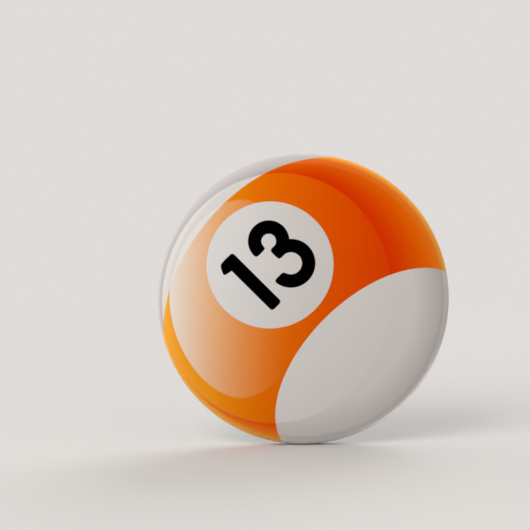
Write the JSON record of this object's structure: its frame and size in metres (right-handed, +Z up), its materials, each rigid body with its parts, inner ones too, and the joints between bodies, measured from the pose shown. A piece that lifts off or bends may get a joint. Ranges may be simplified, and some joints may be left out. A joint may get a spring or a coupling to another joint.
{
  "type": "pin-back button badge",
  "caption": "Round domed badge with a printed striped, numbered ball face under clear film, crimped over a steel back with a hinged wire pin.",
  "frame": {"origin": "middle of the closed pin wire at the badge's back", "axes": "+Y from the printed face towards the back, +Z up as worn, +X along the wire towards its point"},
  "size_m": [0.0572, 0.0058, 0.0572],
  "materials": {
    "shell_steel": "tinplate, satin",
    "printed_paper": "printed coated paper",
    "clear_film": "clear glossy film",
    "back_steel": "tinplate, bright with a fine grain",
    "pin_wire": "nickel-plated spring wire"
  },
  "bodies": {
    "badge": {"front_shell": "shell_steel", "printed_disc": "printed_paper", "clear_film": "clear_film", "back_plate": "back_steel", "pin_coil": "pin_wire"},
    "pin": {"pin_arm": "pin_wire"}
  },
  "joints": [
    {"name": "pin_swing", "type": "hinge", "parent": "badge", "child": "pin", "pos_m": [-0.013, -0.00049, -0.00104], "axis": [0, -0.9063, 0.4226], "range_deg": [0, 58]}
  ]
}
